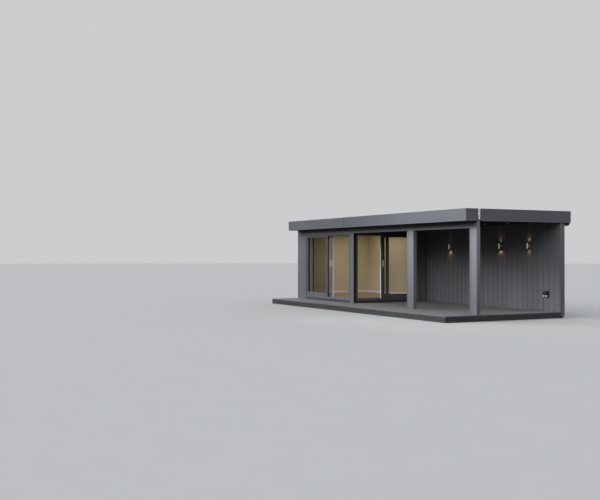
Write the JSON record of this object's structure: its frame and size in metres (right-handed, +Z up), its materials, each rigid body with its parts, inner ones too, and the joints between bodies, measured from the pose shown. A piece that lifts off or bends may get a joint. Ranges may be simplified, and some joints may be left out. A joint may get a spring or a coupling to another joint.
{
  "type": "garden office pod",
  "caption": "Flat-roofed garden room with a closed glazed office at one end, an open posted veranda, sliding doors and a composite deck.",
  "frame": {"origin": "on the ground, under the middle of the footprint of deck and roof", "axes": "+X right along the front, +Y to the back, +Z up"},
  "size_m": [8.89, 3.7, 2.55],
  "materials": {
    "cladding": "dark grey satin",
    "fascia": "anthracite powder coat",
    "deck": "grey composite boards",
    "structure": "sawn timber and insulation",
    "lining": "matt off-white paint",
    "floor": "laminate",
    "soffit": "dark boards",
    "membrane": "matt roofing membrane",
    "pale_strip": "pale joint strip",
    "door_frame": "anthracite foil outside, white inside",
    "glass": "clear double glazing",
    "handle": "polished",
    "lamp": "brushed",
    "socket": "dark weatherproof box",
    "rainwater": "black"
  },
  "bodies": {
    "building": {"left_cladding": "cladding", "front_cladding": "cladding", "back_cladding": "cladding", "veranda_cladding": "cladding", "wall_end_cladding": "cladding", "partition_cladding": "cladding", "side_header": "cladding", "front_header": "cladding", "left_post": "cladding", "middle_post": "cladding", "corner_post": "cladding", "front_beam": "cladding", "door_plinths": "cladding", "front_fascia_left": "fascia", "front_fascia_right": "fascia", "left_fascia": "fascia", "right_fascia_front": "fascia", "right_fascia_back": "fascia", "back_fascia": "fascia", "fascia_covers": "fascia", "deck_boards": "deck", "deck_risers": "deck", "room_base": "structure", "deck_joists": "structure", "left_wall": "structure", "front_panel": "structure", "back_wall": "structure", "partition_wall": "structure", "roof_panel": "structure", "room_lining": "lining", "room_ceiling": "lining", "room_floor": "floor", "outer_soffit": "soffit", "roof_membrane": "membrane", "joint_strip": "pale_strip", "front_door_frame": "door_frame", "front_door_fixed_sash": "door_frame", "side_door_frame": "door_frame", "side_door_fixed_sash": "door_frame", "front_door_fixed_glass": "glass", "side_door_fixed_glass": "glass", "wall_lamps": "lamp", "ceiling_lights": "lamp", "outdoor_socket": "socket", "gutter": "rainwater", "gutter_brackets": "rainwater", "downpipe": "rainwater"},
    "front_leaf": {"front_door_leaf_sash": "door_frame", "front_door_leaf_glass": "glass", "front_door_leaf_handle": "handle"},
    "side_leaf": {"side_door_leaf_sash": "door_frame", "side_door_leaf_glass": "glass", "side_door_leaf_handle": "handle"}
  },
  "joints": [
    {"name": "front_door_slide", "type": "slide", "parent": "building", "child": "front_leaf", "axis": [1, 0, 0], "range_m": [0, 1.0905]},
    {"name": "side_door_slide", "type": "slide", "parent": "building", "child": "side_leaf", "axis": [0, -1, 0], "range_m": [0, 0.815]}
  ]
}
